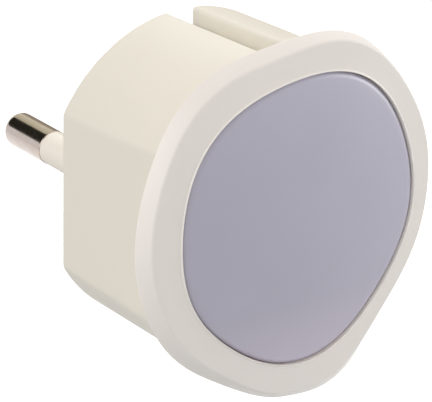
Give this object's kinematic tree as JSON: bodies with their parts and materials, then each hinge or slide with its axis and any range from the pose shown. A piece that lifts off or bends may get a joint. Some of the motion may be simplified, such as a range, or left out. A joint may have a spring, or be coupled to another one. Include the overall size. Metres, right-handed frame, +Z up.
{
  "type": "plug in night light",
  "caption": "Wall-plug LED night light: round plug body with side flats and two leaning pins, a soft three-lobed bevelled front ring and a milky domed window.",
  "frame": {"origin": "centre of the plug's flat rear face, half way between the two pins", "axes": "+Y out of the rear face along the pins into the socket, -Y towards the room and the lit window, +Z up, +X to the right seen from the front"},
  "size_m": [0.0395, 0.0421, 0.0422],
  "materials": {
    "cream_plastic": "satin moulded polycarbonate, warm off-white",
    "milky_window": "frosted milky polycarbonate, pale lavender grey",
    "white_tray": "white reflective moulding",
    "board": "green solder mask on glass epoxy",
    "led_package": "white package with yellow phosphor",
    "nickel_plated_brass": "bright nickel plate",
    "sleeve_plastic": "satin ivory insulation",
    "dark_moulding": "dark grey glass-filled nylon",
    "zinc_steel": "zinc-plated steel",
    "strip_brass": "stamped brass strip",
    "film_box": "orange-yellow potted plastic box",
    "can_sleeve": "dark blue shrink sleeve on an aluminium can",
    "black_epoxy": "moulded black epoxy",
    "resistor_green": "green flameproof lacquer",
    "resistor_tan": "tan lacquer",
    "diode_glass": "reddish glass package",
    "solder": "bright solder"
  },
  "bodies": {
    "root": {"rear_housing": "cream_plastic", "front_bezel": "cream_plastic", "diffuser": "milky_window", "reflector_tray": "white_tray", "circuit_board": "board", "leds": "led_package", "plug_pin_left": "nickel_plated_brass", "plug_pin_right": "nickel_plated_brass", "pin_sleeve_left": "sleeve_plastic", "pin_sleeve_right": "sleeve_plastic", "pin_retainer": "dark_moulding", "retainer_screws": "zinc_steel", "contact_strip_left": "strip_brass", "contact_strip_right": "strip_brass", "board_screws": "zinc_steel", "film_capacitor": "film_box", "smoothing_capacitor": "can_sleeve", "bridge_rectifier": "black_epoxy", "fusible_resistor": "resistor_green", "bleed_resistor": "resistor_tan", "zener_diode": "diode_glass", "chip_resistors": "black_epoxy", "solder_joints": "solder"}
  },
  "joints": []
}
